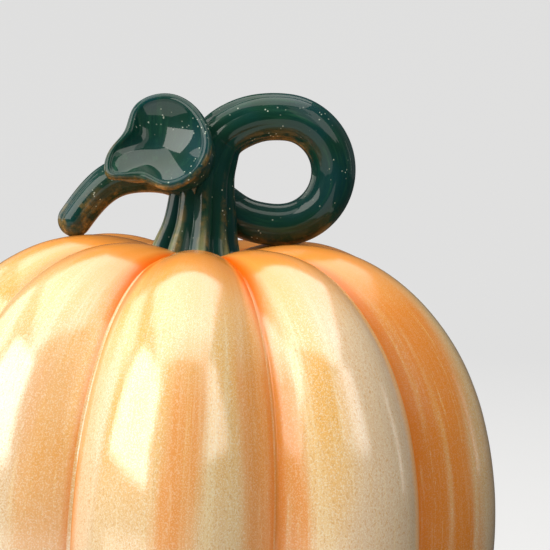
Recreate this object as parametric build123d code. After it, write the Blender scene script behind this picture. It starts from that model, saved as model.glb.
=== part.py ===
"""Hollow ceramic pumpkin figure with a curled vine stem, standing on four felt pads.

Frame: +Z up, origin on the pumpkin's axis at the surface it stands on, front towards -Y. Millimetres.
"""

import math
import os

from build123d import *

# Body
BODY_RADIUS = 117.0  # axis to the outermost line of a lobe
RIM_RADIUS = 39.5  # axis to the top of a lobe, and to its underside
RIM_RISE = 104.2  # equator up to the top of a lobe at the left and right
RIM_SAG = 2.4  # how much lower the tops of the front and back lobes are
FOOT_DROP = 100.0  # equator down to the underside of a lobe, before the foot is ground flat
FOOT_GRIND = 1.2  # ground off the lowest lobes, so that the figure stands flat
FULLNESS = 2.04  # 2 makes the meridian an ellipse, more makes it squarer
LOBE_WIDTHS = (41, 42, 37, 41, 40, 41, 39, 40, 39)  # degrees, anticlockwise seen from above
FIRST_GROOVE = -66  # degrees from the front
GROOVE_DEPTH = 18.0  # at the equator; the grooves get shallower towards the axis
WALL = 6.0
VENT_RADIUS = 5.0
CROWN_RADIUS = 8.0  # smooth patch on the axis, above under the stem and below round the vent

# Felt pads
PAD_RADIUS = 6.0
PAD_THICKNESS = 1.5
PAD_LOBES = {"front_left": 0, "front_right": 2, "back_right": 5, "back_left": 7}

# Stem: heights are above the rim, which is the top of the lobes
TRUNK_RIBS = 9
TRUNK_RIB_HEIGHT = 1.3
# Each trunk section: centre x, height, radius, degrees that the trunk leans to the right there
TRUNK_SECTIONS = (
    (-3.1, -11.0, 17.4, 0),
    (-3.1, -5.0, 15.2, 0),
    (-2.4, 2.0, 13.0, 2),
    (-1.9, 9.0, 11.9, 2),
    (-1.7, 17.0, 11.2, 2),
    (-0.9, 25.0, 10.6, 12),
    (0.9, 31.5, 10.0, 28),
)
LOOP_CENTRE = (28.4, 28.4)
LOOP_RADIUS = 19.9
LOOP_SPREAD = 0.0085  # how fast its two ends open out of the circle
LOOP_SPREAD_FROM = 95  # degrees to either side of the right at which they begin to
LOOP_SPREAD_POWER = 1.6
LOOP_START = 157.8  # degrees, measured from the right in the loop's plane
LOOP_END = -150.0
LOOP_POINTS = 15
LOOP_TUBE = (9.2, 7.8)  # radius at the start and at the end
LOOP_SET_BACK = 8.0  # how far behind its start it ends
LOOP_SINK = 2.9  # how far its end is lowered, so that its underside rests on the body
# Each point of the drooping branch: x, height, radius
BRANCH_SECTIONS = (
    (-3.0, 22.6, 9.4),
    (-13.0, 24.4, 8.4),
    (-24.0, 24.0, 7.4),
    (-35.0, 21.0, 7.0),
    (-42.4, 14.8, 6.6),
    (-49.5, 4.9, 6.4),
)
LEAF_CENTRE = (-18.0, -15.0, 37.0)
LEAF_NORMAL = (-0.20, -0.90, 0.38)
# The leaf's outline in its own plane: to the right, up
LEAF_OUTLINE = (
    (20.0, -1.0),
    (15.0, 10.8),
    (0.0, 18.9),
    (-12.0, 12.5),
    (-14.3, 2.6),
    (-19.2, -6.0),
    (-18.6, -15.6),
    (-6.5, -16.2),
    (4.5, -19.6),
    (16.0, -13.6),
)
LEAF_NECK = (-9.0, 0.0, 30.0)
LEAF_NECK_RADIUS = 7.5
LEAF_HOLLOW = 5.0  # depth of its dish
LEAF_HOLLOW_RADIUS = 15.5

EQUATOR = PAD_THICKNESS + FOOT_DROP - FOOT_GRIND
RIM = EQUATOR + RIM_RISE
MERIDIAN_STEPS = 18
LOBE_STEPS = 8


def groove_angles():
    """Where each lobe starts, in degrees from the front."""
    return [FIRST_GROOVE + sum(LOBE_WIDTHS[:i]) for i in range(len(LOBE_WIDTHS))]


def lobe_middle(lobe):
    return groove_angles()[lobe] + LOBE_WIDTHS[lobe] / 2


def polar(radius, degrees, height):
    """A point at an angle from the front, turning towards +X."""
    angle = math.radians(degrees)
    return Vector(radius * math.sin(angle), -radius * math.cos(angle), height)


def meridian(angle):
    """Radius, height and outward normal of a lobe's middle line, for an angle from straight up."""
    across, up = math.sin(angle), math.cos(angle)
    half_height = RIM_RISE if up > 0 else FOOT_DROP
    half_width = BODY_RADIUS - RIM_RADIUS
    power = 2 / FULLNESS
    radius = RIM_RADIUS + half_width * math.copysign(abs(across) ** power, across)
    height = half_height * math.copysign(abs(up) ** power, up)
    return radius, height, Vector(across * half_height, up * half_width).normalized()


def rim_sag(radius, height, degrees):
    """How far a point is lowered because the front and back lobes are a little lower than the side ones."""
    inward = min(1, (radius - CROWN_RADIUS) / (RIM_RADIUS - CROWN_RADIUS))
    return RIM_SAG * inward * max(0, height / RIM_RISE) * math.cos(math.radians(degrees)) ** 2


def lobe_outline(angle, inset):
    """The closed line round the body at one meridian angle, with a corner in every groove."""
    radius, height, normal = meridian(angle)
    depth = GROOVE_DEPTH * max(radius - CROWN_RADIUS, 0) / (BODY_RADIUS - CROWN_RADIUS)
    arcs = []
    for start, width in zip(groove_angles(), LOBE_WIDTHS):
        points = []
        for step in range(LOBE_STEPS + 1):
            share = step / LOBE_STEPS
            degrees = start + share * width
            sink = inset + depth * (2 * share - 1) ** 2
            level = EQUATOR + height - sink * normal.Y - rim_sag(radius, height, degrees)
            points.append(polar(radius - sink * normal.X, degrees, level))
        arcs.append(Edge.make_spline(points))
    return Wire(arcs)


def lobed_solid(inset):
    """The whole body, moved in by inset from its outside."""
    reach = RIM_RADIUS - CROWN_RADIUS
    inner = math.asin((reach / (BODY_RADIUS - RIM_RADIUS)) ** (FULLNESS / 2))
    angles = [-inner + i * (math.pi + 2 * inner) / MERIDIAN_STEPS for i in range(MERIDIAN_STEPS + 1)]
    return Solid.make_loft([lobe_outline(angle, inset) for angle in angles])


def ground_flat(solid):
    """Removes what lies below the foot plane."""
    side = 3 * BODY_RADIUS
    below = Box(side, side, side, align=(Align.CENTER, Align.CENTER, Align.MAX))
    return solid - Pos(0, 0, PAD_THICKNESS) * below


def body_shell(outside):
    vent = Cylinder(VENT_RADIUS, EQUATOR, align=(Align.CENTER, Align.CENTER, Align.MIN))
    return outside - lobed_solid(WALL) - vent


def felt_pad(lobe):
    spot = polar(RIM_RADIUS, lobe_middle(lobe), 0)
    return Pos(*spot) * Cylinder(PAD_RADIUS, PAD_THICKNESS, align=(Align.CENTER, Align.CENTER, Align.MIN))


def ribbed_section(plane, radius, rib_height):
    """A closed line on a plane whose radius rises and falls once for each rib."""
    count = 4 * TRUNK_RIBS
    points = []
    for i in range(count):
        angle = 2 * math.pi * i / count
        reach = radius + rib_height * math.cos(TRUNK_RIBS * angle)
        points.append(plane.from_local_coords((reach * math.cos(angle), reach * math.sin(angle))))
    parameters = [i / count for i in range(count + 1)]
    return Wire([Edge.make_spline(points, periodic=True, parameters=parameters)])


def loop_point(share):
    """The loop's middle line, from its start at share 0 to its end at share 1."""
    degrees = LOOP_START + share * (LOOP_END - LOOP_START)
    past = max(0, abs(degrees) - LOOP_SPREAD_FROM)
    radius = LOOP_RADIUS + LOOP_SPREAD * past**LOOP_SPREAD_POWER
    angle = math.radians(degrees)
    x, height = LOOP_CENTRE
    level = RIM + height + radius * math.sin(angle) - LOOP_SINK * share
    return Vector(x + radius * math.cos(angle), LOOP_SET_BACK * share, level)


def loop_plane(share):
    """The plane across the loop's tube at a share of its length."""
    nudge = 0.001
    direction = loop_point(share + nudge) - loop_point(share - nudge)
    return Plane(loop_point(share), x_dir=Vector(0, 1, 0).cross(direction), z_dir=direction)


def trunk():
    """The ribbed upright, whose ribs fade out towards the loop."""
    rings = []
    for x, height, radius, lean in TRUNK_SECTIONS:
        angle = math.radians(lean)
        upward = Vector(math.sin(angle), 0, math.cos(angle))
        rightward = Vector(math.cos(angle), 0, -math.sin(angle))
        plane = Plane(Vector(x, 0, RIM + height), x_dir=rightward, z_dir=upward)
        rib_height = TRUNK_RIB_HEIGHT * (1 - len(rings) / len(TRUNK_SECTIONS))
        rings.append(ribbed_section(plane, radius, rib_height))
    rings.append(ribbed_section(loop_plane(0), LOOP_TUBE[0], 0))
    return Solid.make_loft(rings)


def tube(points, planes, radii):
    """A round bar along a smooth line, with a given radius at each plane and a round far end."""
    discs = [Face(Wire.make_circle(radius, plane)) for plane, radius in zip(planes, radii)]
    bar = sweep(discs, path=Spline(*points), multisection=True)
    return bar + planes[-1] * Sphere(radii[-1])


def loop():
    """The curled end of the vine, which starts on the trunk's top face."""
    points = [loop_point(i / LOOP_POINTS) for i in range(LOOP_POINTS + 1)]
    return tube(points, [loop_plane(0), loop_plane(1)], LOOP_TUBE)


def branch():
    """The drooping branch, with a round tip that rests on a lobe."""
    points = [Vector(x, 0, RIM + height) for x, height, _ in BRANCH_SECTIONS]
    radii = [radius for _, _, radius in BRANCH_SECTIONS]
    line = Spline(*points)
    planes = [Plane(point, x_dir=(0, 1, 0), z_dir=line.tangent_at(point)) for point in points]
    return tube(points, planes, radii)


def leaf():
    """The cupped leaf: it flares from a round neck to its lobed outline, and its face is a shallow dish."""
    rim = Vector(0, 0, RIM)
    level = (-LEAF_NORMAL[1], LEAF_NORMAL[0], 0)
    face = Plane(rim + Vector(*LEAF_CENTRE), x_dir=level, z_dir=LEAF_NORMAL)
    neck = Plane(rim + Vector(*LEAF_NECK), x_dir=level, z_dir=LEAF_NORMAL)
    outline = Wire([Edge.make_spline([face.from_local_coords(p) for p in LEAF_OUTLINE], periodic=True)])
    flare = Solid.make_loft([Wire.make_circle(LEAF_NECK_RADIUS, neck), outline])
    ball = (LEAF_HOLLOW_RADIUS**2 + LEAF_HOLLOW**2) / (2 * LEAF_HOLLOW)
    return flare - Pos(*face.from_local_coords((0, 0, ball - LEAF_HOLLOW))) * Sphere(ball)


def largest(shape):
    """The main solid of a cut, without a shaving that the cut left on its far side."""
    return max(shape.solids(), key=lambda solid: solid.volume)


def make_parts():
    outside = ground_flat(lobed_solid(0))
    upright = largest(trunk() - outside)
    vine_loop = largest(loop() - upright - outside)
    vine_branch = largest(branch() - upright - outside)
    vine_leaf = largest(leaf() - upright - vine_branch - vine_loop)
    parts = {
        "body_shell": body_shell(outside),
        "stem_trunk": upright,
        "stem_loop": vine_loop,
        "stem_branch": vine_branch,
        "stem_leaf": vine_leaf,
    }
    for name, lobe in PAD_LOBES.items():
        parts[f"felt_pad_{name}"] = felt_pad(lobe)
    return parts


os.makedirs("parts", exist_ok=True)
for name, shape in make_parts().items():
    export_step(shape, f"parts/{name}.step")
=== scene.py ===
"""The looks of a glazed ceramic pumpkin figure, built round its CAD frame.

Metres, +Z up, front towards -Y. The body's and the stem's driving dimensions are those of the CAD model.
"""

import math

import bpy
import numpy as np
from mathutils import Euler, Matrix, Vector, noise


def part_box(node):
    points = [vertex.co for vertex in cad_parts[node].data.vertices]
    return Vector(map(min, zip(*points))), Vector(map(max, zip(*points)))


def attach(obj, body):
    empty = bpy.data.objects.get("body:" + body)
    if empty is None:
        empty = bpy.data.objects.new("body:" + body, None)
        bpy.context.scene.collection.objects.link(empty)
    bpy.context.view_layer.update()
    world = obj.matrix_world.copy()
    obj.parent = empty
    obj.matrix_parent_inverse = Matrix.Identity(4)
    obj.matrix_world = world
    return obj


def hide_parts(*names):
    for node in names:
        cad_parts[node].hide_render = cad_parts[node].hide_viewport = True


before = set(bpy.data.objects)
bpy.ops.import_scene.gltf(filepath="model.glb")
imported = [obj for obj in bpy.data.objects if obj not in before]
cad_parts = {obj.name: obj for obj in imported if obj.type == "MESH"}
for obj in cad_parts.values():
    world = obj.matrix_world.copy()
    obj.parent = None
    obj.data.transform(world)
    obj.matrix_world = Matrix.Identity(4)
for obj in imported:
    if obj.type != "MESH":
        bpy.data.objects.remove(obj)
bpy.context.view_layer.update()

MM = 0.001

# Body, with the same driving dimensions as the CAD model
BODY_RADIUS = 117.0 * MM  # axis to the outermost line of a lobe
RIM_RADIUS = 39.5 * MM  # axis to the top of a lobe, and to its underside
RIM_RISE = 104.2 * MM  # equator up to the top of a lobe at the left and right
RIM_SAG = 2.4 * MM  # how much lower the tops of the front and back lobes are
FOOT_DROP = 100.0 * MM  # equator down to the underside of a lobe, before grinding
FOOT_GRIND = 1.2 * MM  # ground off the lowest lobes, so that the figure stands flat
FULLNESS = 2.04  # 2 makes the meridian an ellipse, more makes it squarer
LOBE_WIDTHS = np.array([41, 42, 37, 41, 40, 41, 39, 40, 39])  # degrees
FIRST_GROOVE = -66  # degrees from the front, anticlockwise seen from above
GROOVE_DEPTH = 18.0 * MM  # at the equator; the grooves get shallower towards the axis
WALL = 6.0 * MM
VENT_RADIUS = 5.0 * MM
CROWN_RADIUS = 8.0 * MM  # smooth patch on the axis, above under the stem and below round the vent
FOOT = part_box("body_shell")[0].z
EQUATOR = FOOT + FOOT_DROP - FOOT_GRIND
RIM = EQUATOR + RIM_RISE

# Brushed bands of glaze: degrees from the front, half width in degrees, strength, top in mm
ORANGE_BANDS = (
    (-57.0, 3.0, 0.4, 150.0),
    (-31.0, 4.0, 0.4, 172.0),
    (-2.5, 3.5, 0.75, 168.0),
    (12.5, 4.5, 0.7, 174.0),
    (19.5, 2.5, 0.75, 172.0),
    (59.0, 10.0, 1.0, 196.0),
    (104.0, 6.0, 0.8, 165.0),
    (129.0, 4.0, 0.6, 175.0),
    (152.0, 6.0, 0.7, 160.0),
    (190.0, 6.0, 0.6, 170.0),
    (222.0, 5.0, 0.9, 165.0),
    (243.0, 4.0, 0.5, 150.0),
    (270.0, 6.0, 0.7, 170.0),
)
CREAM_BANDS = (
    (-40.0, 6.0, 0.7, 170.0),
    (-21.0, 3.0, 0.6, 170.0),
    (36.0, 8.0, 0.8, 190.0),
    (79.0, 7.0, 0.5, 190.0),
    (117.0, 8.0, 0.8, 180.0),
    (165.0, 6.0, 0.8, 170.0),
    (204.0, 7.0, 0.7, 190.0),
    (233.0, 5.0, 0.8, 180.0),
    (283.0, 6.0, 0.7, 170.0),
)

BAND_SWAY = 0.25  # in half widths of the band
BAND_SWAY_LENGTH = 23 * MM
BAND_END = 25  # mm over which a band thins out at its top

# Slight lumps of the hand-finished clay: their height and how wide they are
LARGE_LUMP = 0.5 * MM
LARGE_LUMP_SIZE = 45 * MM
SMALL_LUMP = 0.12 * MM
SMALL_LUMP_SIZE = 14 * MM
LUMPS_FADE = 20 * MM
UNGLAZED_HEIGHT = 1.2 * MM
FLAT_MARGIN = 0.05 * MM  # points this close to the foot's level stay flat

# Mesh rows and columns
LOBE_COLUMNS = 40
CROWDING = 0.45  # how much closer together a lobe's columns are near its grooves
OUTSIDE_ROWS = 200
INSIDE_ROWS = 40
VINE_ROWS = 420
VINE_COLUMNS = 216
BRANCH_ROWS = 110
BRANCH_COLUMNS = 120
LEAF_COLUMNS = 240
DISH_ROWS = 30
LIP_ROWS = 26
BACK_ROWS = 30

# Stem: heights are above the rim, and numbers without a unit are millimetres or degrees
RIM_CENTRE = np.array([0, 0, RIM])
# Each trunk section: centre x, height, radius
TRUNK_SECTIONS = (
    (-3.1, -11.0, 17.4),
    (-3.1, -5.0, 15.2),
    (-2.4, 2.0, 13.0),
    (-1.9, 9.0, 11.9),
    (-1.7, 17.0, 11.2),
    (-0.9, 25.0, 10.6),
    (0.9, 31.5, 10.0),
)
TRUNK_RIBS = 9
TRUNK_RIB_HEIGHT = 1.8 * MM
LOOP_CENTRE = (28.4, 28.4)
LOOP_RADIUS = 19.9
LOOP_SPREAD = 0.0085  # how fast its two ends open out of the circle
LOOP_SPREAD_FROM = 95  # degrees to either side of the right at which they begin to
LOOP_SPREAD_POWER = 1.6
LOOP_START = 157.8  # degrees, measured from the right in the loop's plane
LOOP_END = -150.0
LOOP_POINTS = 15
LOOP_TUBE = (9.2, 7.8)  # radius at the start and at the end
LOOP_SET_BACK = 8.0  # how far behind its start it ends
LOOP_SINK = 2.9  # how far its end is lowered, so that its underside rests on the body
# Each point of the drooping branch: x, height, radius
BRANCH_SECTIONS = (
    (-3.0, 22.6, 9.4),
    (-13.0, 24.4, 8.4),
    (-24.0, 24.0, 7.4),
    (-35.0, 21.0, 7.0),
    (-42.4, 14.8, 6.6),
    (-49.5, 4.9, 6.4),
)
LEAF_CENTRE = Vector((-18.0, -15.0, 37.0)) * MM
LEAF_NORMAL = Vector((-0.20, -0.90, 0.38)).normalized()
# The leaf's outline in its own plane: to the right, up
LEAF_OUTLINE = (
    (20.0, -1.0),
    (15.0, 10.8),
    (0.0, 18.9),
    (-12.0, 12.5),
    (-14.3, 2.6),
    (-19.2, -6.0),
    (-18.6, -15.6),
    (-6.5, -16.2),
    (4.5, -19.6),
    (16.0, -13.6),
)
LEAF_NECK = Vector((-9.0, 0.0, 30.0)) * MM
LEAF_NECK_RADIUS = 7.5 * MM
LEAF_HOLLOW = 5.0 * MM  # depth of its dish
LEAF_LIP = 1.9 * MM  # radius of its rolled lip
LEAF_LIP_ROLL = 140  # degrees that the lip turns in over the dish
BRANCH_FLARE = 2.5 * MM
BRANCH_FLARE_LENGTH = 16 * MM
BRANCH_RIBS = 5
BRANCH_RIB_HEIGHT = 0.2 * MM
BRANCH_RIB_TURN = 0.3  # radians
BRANCH_TIP_LENGTH = 22 * MM
VINE_TWIST = 11.0  # radians per metre
VINE_GLOSS = 0.6  # the dish of the leaf has 1
VINE_FLOW_RADIUS = 10 * MM
BRANCH_FLOW_RADIUS = 7 * MM
RIB_FADE_PLACES = np.array([0, 12, 40, 70, 110]) * MM  # along the vine
RIB_FADE = (1.1, 0.9, 0.35, 0.06, 0.03)
TRUNK_PALE_LENGTH = 30 * MM
END_ROWS = 24
CUT_OVERLAP = 3  # rows by which the trunk and the loop reach into each other
TUCKED_SIZE = 0.985  # of such a row, so that the other piece hides it
TIP_SIZE = 0.02  # of the last row of a round end, which a fan of triangles closes

# Camera, from the body's centre
CAMERA_PLACE = Vector((0.0, -906.2, 158.7)) * MM
CAMERA_YAW = 1.745
CAMERA_PITCH = -4.244
CAMERA_ROLL = 2.56
CAMERA_LENS = 155.6
SENSOR_WIDTH = 36.0

# Studio, in metres and degrees
WINDOW_LIGHT = (1.0, 0.97, 0.90)
AMBIENT_LIGHT = (0.06, 0.06, 0.06, 1)
# Level lights: name, place from the body's centre, turn, size, radiance
LEVEL_LIGHTS = (
    ("overhead", (-0.08, 0, 1.1), (0, 0, 0), (1.24, 1.4), 2.4),
    ("floor_bounce", (-0.25, -0.55, -0.09), (180, 0, 0), (1.1, 0.8), 1.1),
)
# Upright lights: name, left and right edges, bottom and top edges, radiance
UPRIGHT_DISTANCE = 1.2
UPRIGHT_LIGHTS = (
    ("left_window", (-86, -32), (13, 50), 4.5),
    ("far_left_window", (-140, -98), (4, 42), 1.8),
    ("right_wall", (18, 34), (20, 50), 0.8),
    ("right_window", (34, 56), (20, 52), 2.0),
    ("far_right_wall", (66, 140), (0, 45), 0.12),
    ("far_right_strip", (104, 107), (2, 26), 2.0),
)
COVE_RADIUS = 1.6
COVE_BEND = 0.9
COVE_HEIGHT = 4.0
COVE_COLUMNS = 96
COVE_BEND_ROWS = 16
PAPER_GLOW = 0.68


def smooth_line(knots, count, closed=False):
    """Evenly spread points on a natural cubic spline through the knots, which are rows of any width."""
    knots = np.array(knots, float)
    wrap = 5
    if closed:
        knots = np.vstack([knots[-wrap:], knots, knots[: wrap + 1]])
    spans = np.linalg.norm(np.diff(knots, axis=0), axis=1)
    at = np.concatenate([[0], np.cumsum(spans)])
    size = len(knots)
    matrix = np.eye(size)
    slopes = np.diff(knots, axis=0) / spans[:, None]
    right = np.zeros_like(knots)
    for i in range(1, size - 1):
        matrix[i, i - 1 : i + 2] = spans[i - 1], 2 * (spans[i - 1] + spans[i]), spans[i]
        right[i] = 6 * (slopes[i] - slopes[i - 1])
    bend = np.linalg.solve(matrix, right)
    start, end = (at[wrap], at[-wrap - 1]) if closed else (at[0], at[-1])
    wanted = np.linspace(start, end, count, endpoint=not closed)
    i = np.clip(np.searchsorted(at, wanted, side="right") - 1, 0, size - 2)
    span = spans[i][:, None]
    before = ((at[i + 1] - wanted) / spans[i])[:, None]
    after = 1 - before
    curve = before * knots[i] + after * knots[i + 1]
    return curve + span**2 / 6 * ((before**3 - before) * bend[i] + (after**3 - after) * bend[i + 1])


def rough(points, size, seed):
    """Smooth noise from -1 to 1 at each point, with lumps about as large as size."""
    return np.array([noise.noise(Vector(p) / size + Vector((seed, seed, seed))) for p in points])


def skin(name, rings, node, attributes=None):
    """A closed mesh over rings of points, with a fan at each end, that stands for a CAD node."""
    count = len(rings[0])
    points = np.vstack(rings)
    ends = np.array([rings[0].mean(axis=0), rings[-1].mean(axis=0)])
    near = np.arange(len(rings) - 1)[:, None] * count
    far = near + count
    column = np.arange(count)[None, :]
    following = (column + 1) % count
    quads = np.stack([near + column, near + following, far + following, far + column], axis=-1)
    faces = quads.reshape(-1, 4).tolist()
    last = (len(rings) - 1) * count
    for i in range(count):
        after = (i + 1) % count
        faces.append([len(points), after, i])
        faces.append([len(points) + 1, last + i, last + after])
    mesh = bpy.data.meshes.new(name)
    mesh.from_pydata(np.vstack([points, ends]).tolist(), [], faces)
    for key, values in (attributes or {}).items():
        values = np.array(values, float).reshape(len(points), -1)
        closing = np.array([values[:count].mean(axis=0), values[-count:].mean(axis=0)])
        kind = "FLOAT" if values.shape[1] == 1 else "FLOAT_VECTOR"
        field = "value" if kind == "FLOAT" else "vector"
        layer = mesh.attributes.new(key, kind, "POINT")
        layer.data.foreach_set(field, np.vstack([values, closing]).ravel())
    mesh.update()
    if signed_volume(mesh) < 0:
        mesh.flip_normals()
    mesh.polygons.foreach_set("use_smooth", [True] * len(mesh.polygons))
    piece = bpy.data.objects.new(name, mesh)
    bpy.context.scene.collection.objects.link(piece)
    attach(piece, "root")
    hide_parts(node)
    return piece


def signed_volume(mesh):
    """Positive when the faces point outwards."""
    total = 0.0
    for face in mesh.polygons:
        total += face.center.dot(face.normal) * face.area
    return total / 3


# Body --------------------------------------------------------------------------------------------


def body_columns():
    """Each column's angle and its place across its lobe: columns are closer together near the grooves."""
    step = np.arange(LOBE_COLUMNS) / LOBE_COLUMNS
    share = (1 - CROWDING) * step + CROWDING * (1 - np.cos(np.pi * step)) / 2
    starts = FIRST_GROOVE + np.concatenate([[0], np.cumsum(LOBE_WIDTHS)[:-1]])
    angles = starts[:, None] + share[None, :] * LOBE_WIDTHS[:, None]
    return np.radians(angles.ravel()), np.tile(share, len(LOBE_WIDTHS))


def meridian(angle):
    """Radius, height and outward normal of a lobe's middle line, for an angle from straight up."""
    across, up = math.sin(angle), math.cos(angle)
    half_height = RIM_RISE if up > 0 else FOOT_DROP
    half_width = BODY_RADIUS - RIM_RADIUS
    power = 2 / FULLNESS
    radius = RIM_RADIUS + half_width * math.copysign(abs(across) ** power, across)
    height = half_height * math.copysign(abs(up) ** power, up)
    return radius, height, Vector((across * half_height, up * half_width)).normalized()


def body_ring(angle, inset, azimuth, share):
    """One closed line round the body."""
    radius, height, normal = meridian(angle)
    depth = GROOVE_DEPTH * max(radius - CROWN_RADIUS, 0) / (BODY_RADIUS - CROWN_RADIUS)
    dip = depth * (2 * share - 1) ** 2
    inward = min(1, (radius - CROWN_RADIUS) / (RIM_RADIUS - CROWN_RADIUS))
    sag = RIM_SAG * inward * max(0, height / RIM_RISE) * np.cos(azimuth) ** 2
    reach = radius - (inset + dip) * normal.x
    level = np.maximum(EQUATOR + height - (inset + dip) * normal.y - sag, FOOT)
    return np.stack([reach * np.sin(azimuth), -reach * np.cos(azimuth), level], axis=1)


def flat_ring(radius, level, azimuth):
    """A level circle: one point for each azimuth, which is an angle from the front."""
    around = [radius * np.sin(azimuth), -radius * np.cos(azimuth), np.full(len(azimuth), level)]
    return np.stack(around, axis=1)


def brushed(bands, azimuth, level):
    """How thick a brushed glaze lies, from 0 to 1: it runs down some lobes in uneven bands."""
    total = np.zeros(len(azimuth))
    for degrees, width, strength, top in bands:
        away = np.angle(np.exp(1j * (azimuth - math.radians(degrees))))
        sway = BAND_SWAY * np.sin(level / BAND_SWAY_LENGTH + degrees)
        side = np.abs(away / math.radians(width) + sway)
        # Full up to three quarters of the half width, and none past five quarters
        soft_edge = np.clip(2.5 - 2 * side, 0, 1)
        reach = np.clip((top - level / MM) / BAND_END + 0.5, 0, 1)
        total = np.maximum(total, strength * soft_edge * reach)
    return total


def hand_lumps(ring, radius):
    """How far each point stands out of the smooth body: slight lumps, none on the foot or the axis."""
    lumps = LARGE_LUMP * rough(ring, LARGE_LUMP_SIZE, 3.1)
    lumps += SMALL_LUMP * rough(ring, SMALL_LUMP_SIZE, 8.4)
    lumps *= min(1, max(0, (radius - CROWN_RADIUS) / LUMPS_FADE))
    return np.where(ring[:, 2] < FOOT + FLAT_MARGIN, 0, lumps)


def outside_rows(azimuth, share, past_end):
    """Rings down the outside, from the crown to the vent, each with its point attributes."""
    arc = 0.0
    previous = None
    for row in range(OUTSIDE_ROWS + 1):
        angle = -past_end + row * (math.pi + 2 * past_end) / OUTSIDE_ROWS
        ring = body_ring(angle, 0.0, azimuth, share)
        radius, height, normal = meridian(angle)
        if previous is not None:
            arc += math.hypot(radius - previous[0], height - previous[1])
        previous = radius, height
        outward = flat_ring(normal.x, normal.y, azimuth)
        ring = ring + outward * hand_lumps(ring, radius)[:, None]
        ring[:, 2] = np.maximum(ring[:, 2], FOOT)
        level = ring[:, 2]
        under = angle > math.pi / 2
        yield ring, {
            "across": 2 * share - 1,
            "crown": np.full(len(azimuth), arc),
            "orange": brushed(ORANGE_BANDS, azimuth, level),
            "cream": brushed(CREAM_BANDS, azimuth, level),
            "bare": under * np.clip(1 - (level - FOOT) / UNGLAZED_HEIGHT, 0, 1),
            "flow": flat_ring(BODY_RADIUS, arc, azimuth),
        }


def inside_rings(azimuth, share, past_end, vent_level):
    """Rings through the vent and up the inside to the crown."""
    inside_level = body_ring(math.pi + past_end, WALL, azimuth, share)[0, 2]
    rings = [flat_ring(VENT_RADIUS, level, azimuth) for level in (vent_level, inside_level)]
    for row in range(INSIDE_ROWS + 1):
        angle = math.pi + past_end - row * (math.pi + 2 * past_end) / INSIDE_ROWS
        rings.append(body_ring(angle, WALL, azimuth, share))
    return rings


def pumpkin_body():
    """The hollow body: one skin down its outside, through the vent and back up its inside."""
    azimuth, share = body_columns()
    # The meridian goes on past the lobe's top and underside, until it reaches the smooth patches
    reach = RIM_RADIUS - CROWN_RADIUS
    past_end = math.asin((reach / (BODY_RADIUS - RIM_RADIUS)) ** (FULLNESS / 2))
    rows = list(outside_rows(azimuth, share, past_end))
    last_ring, last_values = rows[-1]
    nothing = np.zeros(len(azimuth))
    unglazed = {"across": nothing, "orange": nothing, "cream": nothing, "bare": nothing + 1}
    for ring in inside_rings(azimuth, share, past_end, last_ring[0, 2]):
        rows.append((ring, {**last_values, **unglazed}))
    rings = [ring for ring, values in rows]
    layers = {key: np.concatenate([values[key] for ring, values in rows]) for key in last_values}
    piece = skin("pumpkin_body", rings, "body_shell", layers)
    piece.data.materials.append(pumpkin_glaze())
    return piece


# Stem --------------------------------------------------------------------------------------------


def loop_point(share):
    """The loop's middle line in mm, from the trunk's top to the tip behind the trunk."""
    degrees = LOOP_START + share * (LOOP_END - LOOP_START)
    past = max(0, abs(degrees) - LOOP_SPREAD_FROM)
    radius = LOOP_RADIUS + LOOP_SPREAD * past**LOOP_SPREAD_POWER
    angle = math.radians(degrees)
    x, height = LOOP_CENTRE
    return (
        x + radius * math.cos(angle),
        LOOP_SET_BACK * share,
        height + radius * math.sin(angle) - LOOP_SINK * share,
    )


def across_frames(line):
    """Two directions across a line at each of its points: one in its plane, and one sideways to it."""
    along = np.gradient(line, axis=0)
    along /= np.linalg.norm(along, axis=1)[:, None]
    side = np.cross([0.0, 1.0, 0.0], along)
    side /= np.linalg.norm(side, axis=1)[:, None]
    return side, np.cross(along, side)


def tube_rings(line, radii, shape, columns):
    """Rings round a line; shape(row, angles) gives what to add to the radius."""
    side, other = across_frames(line)
    angles = np.arange(columns) * 2 * np.pi / columns
    rings = []
    for row, centre in enumerate(line):
        reach = (radii[row] + shape(row, angles))[:, None]
        spoke = np.cos(angles)[:, None] * side[row] + np.sin(angles)[:, None] * other[row]
        rings.append(centre + reach * spoke)
    return rings, angles


def round_end(line, radii, rows):
    """Closes a tube with a half ball: the last rows shrink like a circle."""
    direction = line[-1] - line[-2]
    direction /= np.linalg.norm(direction)
    turns = np.linspace(0, np.pi / 2, rows + 1)[1:]
    tip = line[-1] + np.outer(np.sin(turns), direction) * radii[-1]
    shrunk = radii[-1] * np.maximum(np.cos(turns), TIP_SIZE)
    return np.vstack([line, tip]), np.concatenate([radii, shrunk])


def rib_wave(angles, ribs, twist):
    """Rounded ridges with sharp valleys, from -1 in a valley to 1 on a ridge."""
    return 2 * np.abs(np.cos(ribs * angles / 2 + twist)) ** 0.9 - 1


def tucked(ring):
    """A ring drawn in a hair, so that the neighbouring piece hides it."""
    return ring.mean(axis=0) + TUCKED_SIZE * (ring - ring.mean(axis=0))


def vine_flow(radius, angles, along):
    """The glaze's own coordinates on a ring of a round bar, which is that far along it."""
    around = [radius * np.cos(angles), radius * np.sin(angles), np.full(len(angles), along)]
    return np.stack(around, axis=1)


def stem_layers(ridge, pale, gloss, flow):
    """Point attributes of a stem piece, from one row of values for each ring."""
    layers = {"ridge": ridge, "pale": pale, "gloss": gloss}
    layers = {key: np.concatenate(rows) for key, rows in layers.items()}
    layers["flow"] = np.vstack(flow)
    return layers


def lengths_along(line):
    """How far along a line each of its points is."""
    return np.concatenate([[0], np.cumsum(np.linalg.norm(np.diff(line, axis=0), axis=1))])


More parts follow.
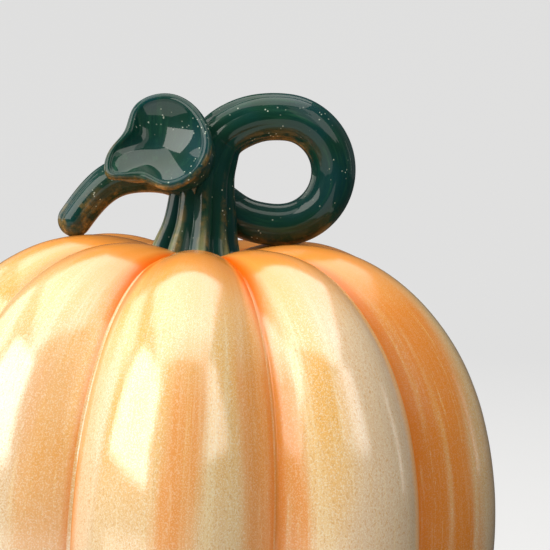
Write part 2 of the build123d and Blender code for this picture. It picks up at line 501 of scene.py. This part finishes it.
def vine_line():
    """The middle line and the radii of the trunk and the loop, and the row where the loop starts."""
    knots = [(x, 0.0, height, radius) for x, height, radius in TRUNK_SECTIONS]
    thick, thin = LOOP_TUBE
    for i in range(LOOP_POINTS + 1):
        share = i / LOOP_POINTS
        knots.append((*loop_point(share), thick + (thin - thick) * share))
    line = smooth_line(knots, VINE_ROWS) * MM
    radii = line[:, 3]
    line = line[:, :3] + RIM_CENTRE
    start = np.array(loop_point(0)) * MM + RIM_CENTRE
    cut = int(np.argmin(np.linalg.norm(line - start, axis=1)))
    return *round_end(line, radii, END_ROWS), cut


def vine():
    """The trunk and the loop: one bar of ribbed clay, cut where the loop starts."""
    line, radii, cut = vine_line()
    along = lengths_along(line)
    fade = np.interp(along, RIB_FADE_PLACES, RIB_FADE)
    fade[-END_ROWS:] *= np.linspace(1, 0, END_ROWS)
    twist = VINE_TWIST * along

    def ribs(row, angles):
        # No two ribs are quite the same
        uneven = 1 + 0.35 * np.sin(angles * 2 + 1.0) + 0.2 * np.sin(angles * 5 + 2.0)
        return TRUNK_RIB_HEIGHT * fade[row] * uneven * rib_wave(angles, TRUNK_RIBS, twist[row])

    rings, angles = tube_rings(line, radii, ribs, VINE_COLUMNS)
    ridge, pale, gloss, flow = [], [], [], []
    for row, ring in enumerate(rings):
        wave = np.clip(rib_wave(angles, TRUNK_RIBS, twist[row]), 0, 1)
        under = np.clip((line[row][2] - ring[:, 2]) / radii[row], 0, 1) if row > cut else 0 * angles
        ridge.append(np.maximum(wave * min(1, fade[row]), 0.9 * under))
        pale.append(wave * max(0, 1 - along[row] / TRUNK_PALE_LENGTH))
        gloss.append(np.full(len(angles), VINE_GLOSS))
        flow.append(vine_flow(VINE_FLOW_RADIUS, angles, along[row]))
    lower = rings[: cut + 1] + [tucked(ring) for ring in rings[cut + 1 : cut + 1 + CUT_OVERLAP]]
    upper = [tucked(ring) for ring in rings[cut - CUT_OVERLAP : cut]] + rings[cut:]
    layers = (ridge, pale, gloss, flow)
    trunk_layers = stem_layers(*(rows[: cut + 1 + CUT_OVERLAP] for rows in layers))
    loop_layers = stem_layers(*(rows[cut - CUT_OVERLAP :] for rows in layers))
    return [
        skin("stem_trunk_glazed", lower, "stem_trunk", trunk_layers),
        skin("stem_loop_glazed", upper, "stem_loop", loop_layers),
    ]


def branch():
    """The drooping branch, wider where it leaves the trunk."""
    line = smooth_line(BRANCH_SECTIONS, BRANCH_ROWS) * MM
    radii = line[:, 2]
    line = np.stack([line[:, 0], np.zeros(len(line)), line[:, 1] + RIM], axis=1)
    radii = radii + BRANCH_FLARE * np.clip(1 - lengths_along(line) / BRANCH_FLARE_LENGTH, 0, 1) ** 2
    line, radii = round_end(line, radii, END_ROWS)
    along = lengths_along(line)
    fade = np.ones(len(line))
    fade[-END_ROWS:] = np.linspace(1, 0, END_ROWS)

    def ribs(row, angles):
        return BRANCH_RIB_HEIGHT * fade[row] * rib_wave(angles, BRANCH_RIBS, BRANCH_RIB_TURN)

    rings, angles = tube_rings(line, radii, ribs, BRANCH_COLUMNS)
    wave = np.clip(rib_wave(angles, BRANCH_RIBS, BRANCH_RIB_TURN), 0, 1)
    ridge, flow = [], []
    for row, ring in enumerate(rings):
        # Bronze shows underneath, on the tip and a little on the ribs
        under = np.clip((line[row][2] - ring[:, 2]) / radii[row] + 0.25, 0, 1)
        tip = np.clip(1 - (along[-1] - along[row]) / BRANCH_TIP_LENGTH, 0, 1)
        ridge.append(np.clip(0.35 * wave + under + 0.9 * tip, 0, 1))
        flow.append(vine_flow(BRANCH_FLOW_RADIUS, angles, along[row]))
    plain = [np.zeros(len(angles))] * len(rings)
    gloss = [np.full(len(angles), VINE_GLOSS)] * len(rings)
    layers = stem_layers(ridge, plain, gloss, flow)
    return skin("stem_branch_glazed", rings, "stem_branch", layers)


def leaf_edge():
    """The leaf's outline, as steps from its middle."""
    right = Vector((-LEAF_NORMAL.y, LEAF_NORMAL.x, 0)).normalized()
    up = LEAF_NORMAL.cross(right)
    outline = smooth_line(LEAF_OUTLINE, LEAF_COLUMNS, closed=True) * MM
    return outline[:, :1] * np.array(right) + outline[:, 1:] * np.array(up)


def leaf():
    """A shallow dish with a rolled lip, whose back narrows to a neck inside the trunk."""
    edge = leaf_edge()
    size = np.linalg.norm(edge, axis=1)[:, None]
    outward = edge / size
    normal = np.array(LEAF_NORMAL)
    middle = np.array(LEAF_CENTRE) + RIM_CENTRE
    neck_middle = np.array(LEAF_NECK) + RIM_CENTRE
    lip_inner = math.radians(LEAF_LIP_ROLL)
    reach = size - LEAF_LIP * (1 - math.cos(lip_inner))
    rise = LEAF_LIP * math.sin(lip_inner)
    curve = (LEAF_HOLLOW + rise) / reach.mean() ** 2
    rings, ridge, gloss = [], [], []
    for part in np.linspace(0.03, 1, DISH_ROWS, endpoint=False):
        bowl = curve * (part * reach) ** 2 - LEAF_HOLLOW
        to_lip = rise + LEAF_HOLLOW - curve * reach**2
        rings.append(middle + part * reach * outward + (bowl + to_lip * part**5) * normal)
        ridge.append(np.zeros(LEAF_COLUMNS))
        gloss.append(np.ones(LEAF_COLUMNS))
    for turn in np.linspace(lip_inner, -math.pi / 2, LIP_ROWS):
        round_lip = (math.cos(turn) - 1) * outward + math.sin(turn) * normal
        rings.append(middle + edge + LEAF_LIP * round_lip)
        # Bronze breaks through along the front of the lip, most of all where it hangs low
        low_side = np.clip(0.75 - outward[:, 2], 0.1, 1)
        ridge.append(low_side * max(0.0, math.cos(turn - math.radians(15))))
        gloss.append(np.full(LEAF_COLUMNS, VINE_GLOSS))
    lip_back = edge - LEAF_LIP * outward
    for turn in np.linspace(0, math.pi / 2, BACK_ROWS + 1)[1:]:
        keep = math.cos(turn) ** 0.9
        done = math.sin(turn)
        place = middle + (neck_middle - middle) * done**1.1 - LEAF_LIP * normal * (1 - done)
        rings.append(place + keep * lip_back + (1 - keep) * LEAF_NECK_RADIUS * outward)
        ridge.append(np.full(LEAF_COLUMNS, 0.5 * keep))
        gloss.append(np.full(LEAF_COLUMNS, VINE_GLOSS))
    plain = [np.zeros(LEAF_COLUMNS)] * len(rings)
    layers = stem_layers(ridge, plain, gloss, rings)
    return skin("stem_leaf_glazed", rings, "stem_leaf", layers)


# Materials ---------------------------------------------------------------------------------------


def add(tree, kind, settings=None, **inputs):
    """Adds a shader node. An input is a value, or another node's output to link to it."""
    node = tree.nodes.new("ShaderNode" + kind)
    for key, value in (settings or {}).items():
        setattr(node, key, value)
    for key, value in inputs.items():
        socket = node.inputs[int(key[1:])] if key[1:].isdigit() else node.inputs[key.replace("_", " ")]
        if isinstance(value, bpy.types.NodeSocket):
            tree.links.new(value, socket)
        else:
            socket.default_value = value
    return node


def attribute(tree, name):
    """A point attribute with one value."""
    node = add(tree, "Attribute", {"attribute_name": name})
    return node.outputs["Fac"]


def flow_vector(tree, across, along):
    """The glaze's own coordinates, which run with the brush, scaled across it and along it."""
    flow = add(tree, "Attribute", {"attribute_name": "flow"}).outputs["Vector"]
    scaled = add(tree, "VectorMath", {"operation": "MULTIPLY"}, i0=flow, i1=(across, across, along))
    return scaled.outputs[0]


def noise_value(tree, vector, scale, detail=3.0, roughness=0.55):
    """Cloudy noise, from about 0.2 to 0.8."""
    node = add(tree, "TexNoise", None, Vector=vector, Scale=scale, Detail=detail, Roughness=roughness)
    return node.outputs["Fac"]


def ramp(tree, value, low, high):
    """0 below low, 1 above high, and smooth between."""
    node = add(tree, "MapRange", {"interpolation_type": "SMOOTHSTEP"}, Value=value)
    node.inputs["From Min"].default_value = low
    node.inputs["From Max"].default_value = high
    return node.outputs["Result"]


def calc(tree, operation, a, b):
    """Arithmetic on two values, with the result kept between 0 and 1."""
    return add(tree, "Math", {"operation": operation, "use_clamp": True}, i0=a, i1=b).outputs[0]


def mix(tree, factor, a, b):
    """Colour a where the factor is 0, and b where it is 1."""
    node = add(tree, "Mix", {"data_type": "RGBA"}, i0=factor, i6=a, i7=b)
    return node.outputs[2]


def new_material(name):
    """A new material with its node tree and its shader."""
    material = bpy.data.materials.new(name)
    material.use_nodes = True
    tree = material.node_tree
    return material, tree, tree.nodes["Principled BSDF"]


def colour(red, green, blue):
    """A colour given as it looks on a screen, from 0 to 255, for a shader."""
    channels = []
    for value in (red, green, blue):
        part = value / 255
        channels.append(part / 12.92 if part <= 0.04045 else ((part + 0.055) / 1.055) ** 2.4)
    return (*channels, 1.0)


# Colours of the body's glaze
GOLD = colour(247, 190, 102)
PALE_GOLD = colour(243, 200, 130)
PEACH = colour(241, 213, 176)
THIN_GOLD = colour(249, 222, 170)
CREAM = colour(238, 210, 178)
BRUSHED_ORANGE = colour(234, 140, 48)
LIGHT_STREAK = colour(252, 226, 176)
BROWN_FLAKE = colour(222, 160, 82)
WHITE_SPECKLE = colour(255, 244, 218)
CROWN_ORANGE = colour(252, 156, 52)
GROOVE_ORANGE = colour(236, 142, 50)
POOLED_ORANGE = colour(238, 108, 4)
BARE_CLAY = colour(222, 208, 188)

# Colours of the stem's glaze
DARK_GREEN = colour(8, 54, 40)
DARK_TEAL = colour(4, 58, 62)
GREEN_STREAK = colour(34, 84, 62)
BRONZE = colour(114, 98, 52)
OLD_GOLD = colour(176, 142, 84)
PALE_OLIVE = colour(146, 154, 110)
PALE_CRYSTAL = colour(190, 205, 190)

# Colours of the felt
DARK_FELT = colour(112, 100, 86)
LIGHT_FELT = colour(150, 136, 118)
FELT_TUFT = colour(92, 82, 70)

# Where the colours change, from the crown along a lobe
NEAR_STEM = (40 * MM, 95 * MM)
FAR_FROM_STEM = (120 * MM, 200 * MM)


def product(tree, *factors):
    """Several factors from 0 to 1, multiplied."""
    result = factors[0]
    for factor in factors[1:]:
        result = calc(tree, "MULTIPLY", result, factor)
    return result


def wash(tree, base, cover, strength, tint):
    """Lays a tint over a colour: cover says where, from 0 to 1, and strength says how much of it."""
    return mix(tree, product(tree, cover, strength), base, tint)


def brushed_colours(tree, streaks, bands, flakes, speckle):
    """Gold to peach over the lobes, cream and orange in brushed bands, streaks and a fine grain."""
    crown = attribute(tree, "crown")
    cloud = noise_value(tree, flow_vector(tree, 30, 18), 1.0, 2.0, 0.5)
    base = mix(tree, ramp(tree, cloud, 0.35, 0.65), GOLD, PALE_GOLD)
    base = wash(tree, base, ramp(tree, crown, *FAR_FROM_STEM), 0.85, PEACH)
    thin = product(tree, ramp(tree, bands, 0.45, 0.70), ramp(tree, streaks, 0.2, 0.6))
    base = wash(tree, base, thin, 0.8, THIN_GOLD)
    creamy = product(tree, attribute(tree, "cream"), ramp(tree, streaks, 0.1, 0.5))
    base = mix(tree, creamy, base, CREAM)
    thick = product(tree, ramp(tree, bands, 0.10, 0.45), ramp(tree, streaks, 0.15, 0.45))
    thick = product(tree, attribute(tree, "orange"), thick)
    base = mix(tree, thick, base, BRUSHED_ORANGE)
    grain = calc(tree, "SUBTRACT", 0.55, product(tree, thick, 0.4))
    base = wash(tree, base, ramp(tree, streaks, 0.52, 0.75), grain, LIGHT_STREAK)
    base = wash(tree, base, ramp(tree, flakes, 0.50, 0.70), grain, BROWN_FLAKE)
    return wash(tree, base, ramp(tree, speckle, 0.46, 0.68), grain, WHITE_SPECKLE)


def pumpkin_glaze():
    """Pearl glaze: brushed gold, peach and cream, orange where it pools, and a fine speckle."""
    material, tree, shader = new_material("pumpkin_glaze")
    across = add(tree, "Math", {"operation": "ABSOLUTE"}, i0=attribute(tree, "across")).outputs[0]
    bare = attribute(tree, "bare")
    streaks = noise_value(tree, flow_vector(tree, 900, 28), 1.0, 3.0, 0.6)
    bands = noise_value(tree, flow_vector(tree, 160, 7), 1.0, 2.0, 0.5)
    flakes = noise_value(tree, flow_vector(tree, 1500, 800), 1.0, 2.0, 0.6)
    speckle = noise_value(tree, flow_vector(tree, 2300, 1700), 1.0, 1.0, 0.5)
    base = brushed_colours(tree, streaks, bands, flakes, speckle)

    near_stem = calc(tree, "SUBTRACT", 1.0, ramp(tree, attribute(tree, "crown"), *NEAR_STEM))
    base = wash(tree, base, near_stem, 0.9, CROWN_ORANGE)
    base = wash(tree, base, ramp(tree, across, 0.88, 1.0), 0.8, GROOVE_ORANGE)
    deep = product(tree, ramp(tree, across, 0.70, 0.98), near_stem)
    base = mix(tree, deep, base, POOLED_ORANGE)
    base = mix(tree, bare, base, BARE_CLAY)
    tree.links.new(base, shader.inputs["Base Color"])

    relief = calc(tree, "ADD", product(tree, speckle, 0.5), product(tree, streaks, 0.5))
    bump = add(tree, "Bump", None, Strength=0.3, Distance=0.2 * MM, Height=relief)
    tree.links.new(bump.outputs[0], shader.inputs["Normal"])
    tree.links.new(bump.outputs[0], shader.inputs["Coat Normal"])
    satin = add(tree, "MapRange", None, Value=flakes)
    satin.inputs["To Min"].default_value = 0.35
    satin.inputs["To Max"].default_value = 0.50
    clay_roughness = (0.85, 0.85, 0.85, 1)
    tree.links.new(mix(tree, bare, satin.outputs[0], clay_roughness), shader.inputs["Roughness"])
    shader.inputs["Specular IOR Level"].default_value = 0.1

    dull = calc(tree, "MAXIMUM", product(tree, attribute(tree, "orange"), 0.9), product(tree, deep, 0.85))
    dull = calc(tree, "MAXIMUM", dull, product(tree, ramp(tree, across, 0.45, 0.85), 0.35))
    dull = calc(tree, "MAXIMUM", dull, bare)
    tree.links.new(calc(tree, "SUBTRACT", 1.0, dull), shader.inputs["Coat Weight"])
    shader.inputs["Coat Roughness"].default_value = 0.06
    shader.inputs["Coat IOR"].default_value = 2.0
    return material


def sparkle_dots(tree, place):
    """Small round dots of pale glaze, about one in every two millimetres."""
    cells = add(tree, "TexVoronoi", None, Vector=place, Scale=520.0)
    return calc(tree, "SUBTRACT", 1.0, ramp(tree, cells.outputs["Distance"], 0.10, 0.2))


def stem_glaze():
    """Dark teal glaze: bronze on ridges and rims, and pale streaks at the foot of the trunk."""
    material, tree, shader = new_material("stem_glaze")
    ridge = attribute(tree, "ridge")
    place = add(tree, "TexCoord").outputs["Object"]
    streaks = noise_value(tree, flow_vector(tree, 400, 45), 1.0, 3.0, 0.6)
    patches = noise_value(tree, place, 150.0, 4.0, 0.65)
    depth = noise_value(tree, place, 45.0, 2.0, 0.5)
    base = mix(tree, ramp(tree, depth, 0.3, 0.7), DARK_GREEN, DARK_TEAL)
    base = wash(tree, base, ramp(tree, streaks, 0.5, 0.8), 0.7, GREEN_STREAK)
    bronze = product(tree, ramp(tree, ridge, 0.25, 0.95), ramp(tree, patches, 0.44, 0.62))
    base = wash(tree, base, bronze, 0.8, BRONZE)
    gold = product(tree, ramp(tree, ridge, 0.6, 1.0), ramp(tree, patches, 0.58, 0.68))
    base = wash(tree, base, gold, 0.7, OLD_GOLD)
    cream = product(tree, ramp(tree, attribute(tree, "pale"), 0.2, 0.8), ramp(tree, streaks, 0.36, 0.60))
    base = wash(tree, base, cream, 0.7, PALE_OLIVE)
    clusters = ramp(tree, noise_value(tree, place, 78.0, 2.0, 0.6), 0.54, 0.62)
    sparkle = product(tree, sparkle_dots(tree, place), clusters)
    base = wash(tree, base, sparkle, 0.8, PALE_CRYSTAL)
    bump = add(tree, "Bump", None, Strength=0.2, Distance=0.3 * MM, Height=streaks)
    tree.links.new(base, shader.inputs["Base Color"])
    tree.links.new(bump.outputs[0], shader.inputs["Normal"])
    tree.links.new(attribute(tree, "gloss"), shader.inputs["Coat Weight"])
    shader.inputs["Roughness"].default_value = 0.4
    shader.inputs["Specular IOR Level"].default_value = 0.1
    shader.inputs["Coat Roughness"].default_value = 0.04
    shader.inputs["Coat IOR"].default_value = 1.5
    return material


def felt():
    """Short pressed felt."""
    material, tree, shader = new_material("felt")
    place = add(tree, "TexCoord").outputs["Object"]
    fibres = noise_value(tree, place, 2200.0, 4.0, 0.7)
    tufts = noise_value(tree, place, 500.0, 3.0, 0.6)
    base = mix(tree, ramp(tree, fibres, 0.35, 0.65), DARK_FELT, LIGHT_FELT)
    base = wash(tree, base, ramp(tree, tufts, 0.5, 0.7), 0.5, FELT_TUFT)
    bump = add(tree, "Bump", None, Strength=0.6, Distance=0.3 * MM, Height=fibres)
    tree.links.new(base, shader.inputs["Base Color"])
    tree.links.new(bump.outputs[0], shader.inputs["Normal"])
    shader.inputs["Roughness"].default_value = 0.95
    shader.inputs["Sheen Weight"].default_value = 0.4
    return material


# Studio ------------------------------------------------------------------------------------------


def cove():
    """A pale round floor that turns up into a wall."""
    profile = [(0.0, 0.0), (COVE_RADIUS / 2, 0.0), (COVE_RADIUS, 0.0)]
    for turn in np.linspace(0, math.pi / 2, COVE_BEND_ROWS + 1)[1:]:
        profile.append((COVE_RADIUS + COVE_BEND * math.sin(turn), COVE_BEND * (1 - math.cos(turn))))
    profile.append((COVE_RADIUS + COVE_BEND, COVE_HEIGHT))
    points, faces = [], []
    for radius, level in profile:
        for angle in np.arange(COVE_COLUMNS) * 2 * np.pi / COVE_COLUMNS:
            points.append((radius * math.cos(angle), radius * math.sin(angle), level))
    for low in range(0, (len(profile) - 1) * COVE_COLUMNS, COVE_COLUMNS):
        high = low + COVE_COLUMNS
        for i in range(COVE_COLUMNS):
            after = (i + 1) % COVE_COLUMNS
            faces.append([low + i, low + after, high + after, high + i])
    mesh = bpy.data.meshes.new("studio_floor")
    mesh.from_pydata(points, [], faces)
    mesh.polygons.foreach_set("use_smooth", [True] * len(mesh.polygons))
    floor = bpy.data.objects.new("studio_floor", mesh)
    bpy.context.scene.collection.objects.link(floor)
    floor.visible_glossy = False
    floor.visible_diffuse = False
    mesh.materials.append(studio_paper())


def studio_paper():
    """Paper that glows evenly, so that the background is pale and the shadows on it are faint."""
    material, _, shader = new_material("studio_paper")
    shader.inputs["Base Color"].default_value = (0.2, 0.2, 0.2, 1)
    shader.inputs["Roughness"].default_value = 0.9
    shader.inputs["Specular IOR Level"].default_value = 0.0
    shader.inputs["Emission Color"].default_value = (1, 1, 1, 1)
    shader.inputs["Emission Strength"].default_value = PAPER_GLOW
    return material


def panel(name, place, turn, size, radiance):
    """A rectangular light at a place from the body's centre, turned by Euler angles in degrees."""
    light = bpy.data.lights.new(name, "AREA")
    light.shape = "RECTANGLE"
    light.size, light.size_y = size
    light.energy = math.pi * size[0] * size[1] * radiance
    light.color = WINDOW_LIGHT
    lamp = bpy.data.objects.new(name, light)
    lamp.location = Vector(place) + Vector((0, 0, EQUATOR))
    lamp.rotation_euler = Euler([math.radians(angle) for angle in turn])
    lamp.visible_camera = False
    bpy.context.scene.collection.objects.link(lamp)


def standing_panel(name, azimuth, elevation, radiance):
    """An upright light whose edges are given as directions from the body's centre, in degrees."""
    left, right = azimuth
    low, high = (UPRIGHT_DISTANCE * math.tan(math.radians(angle)) for angle in elevation)
    middle = math.radians(left + right) / 2
    width = 2 * UPRIGHT_DISTANCE * math.tan(math.radians(right - left) / 2)
    place = (UPRIGHT_DISTANCE * math.sin(middle), -UPRIGHT_DISTANCE * math.cos(middle), (low + high) / 2)
    panel(name, place, (90, 0, math.degrees(middle)), (width, high - low), radiance)


def camera():
    """The camera faces +Y, then turns about the upright, tips down and rolls about its own axis."""
    lens = bpy.data.cameras.new("camera")
    lens.lens = CAMERA_LENS
    lens.sensor_width = SENSOR_WIDTH
    lens.clip_start = 0.01
    eye = bpy.data.objects.new("camera", lens)
    turn = Matrix.Rotation(math.radians(-CAMERA_YAW), 4, "Z")
    tilt = Matrix.Rotation(math.radians(90 + CAMERA_PITCH), 4, "X")
    roll = Matrix.Rotation(math.radians(CAMERA_ROLL), 4, "Z")
    eye.matrix_world = Matrix.Translation(CAMERA_PLACE + Vector((0, 0, EQUATOR))) @ turn @ tilt @ roll
    bpy.context.scene.collection.objects.link(eye)
    bpy.context.scene.camera = eye


def studio():
    """The floor, the lights and the camera."""
    cove()
    world = bpy.data.worlds.new("studio")
    world.use_nodes = True
    world.node_tree.nodes["Background"].inputs["Color"].default_value = AMBIENT_LIGHT
    bpy.context.scene.world = world
    bpy.context.scene.view_settings.view_transform = "Standard"
    for light in LEVEL_LIGHTS:
        panel(*light)
    for light in UPRIGHT_LIGHTS:
        standing_panel(*light)
    camera()


pumpkin_body()
glaze = stem_glaze()
for stem_piece in (*vine(), branch(), leaf()):
    stem_piece.data.materials.append(glaze)
felt_material = felt()
for node_name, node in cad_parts.items():
    if node_name.startswith("felt_pad"):
        node.data.materials.clear()
        node.data.materials.append(felt_material)
studio()

bpy.context.view_layer.update()
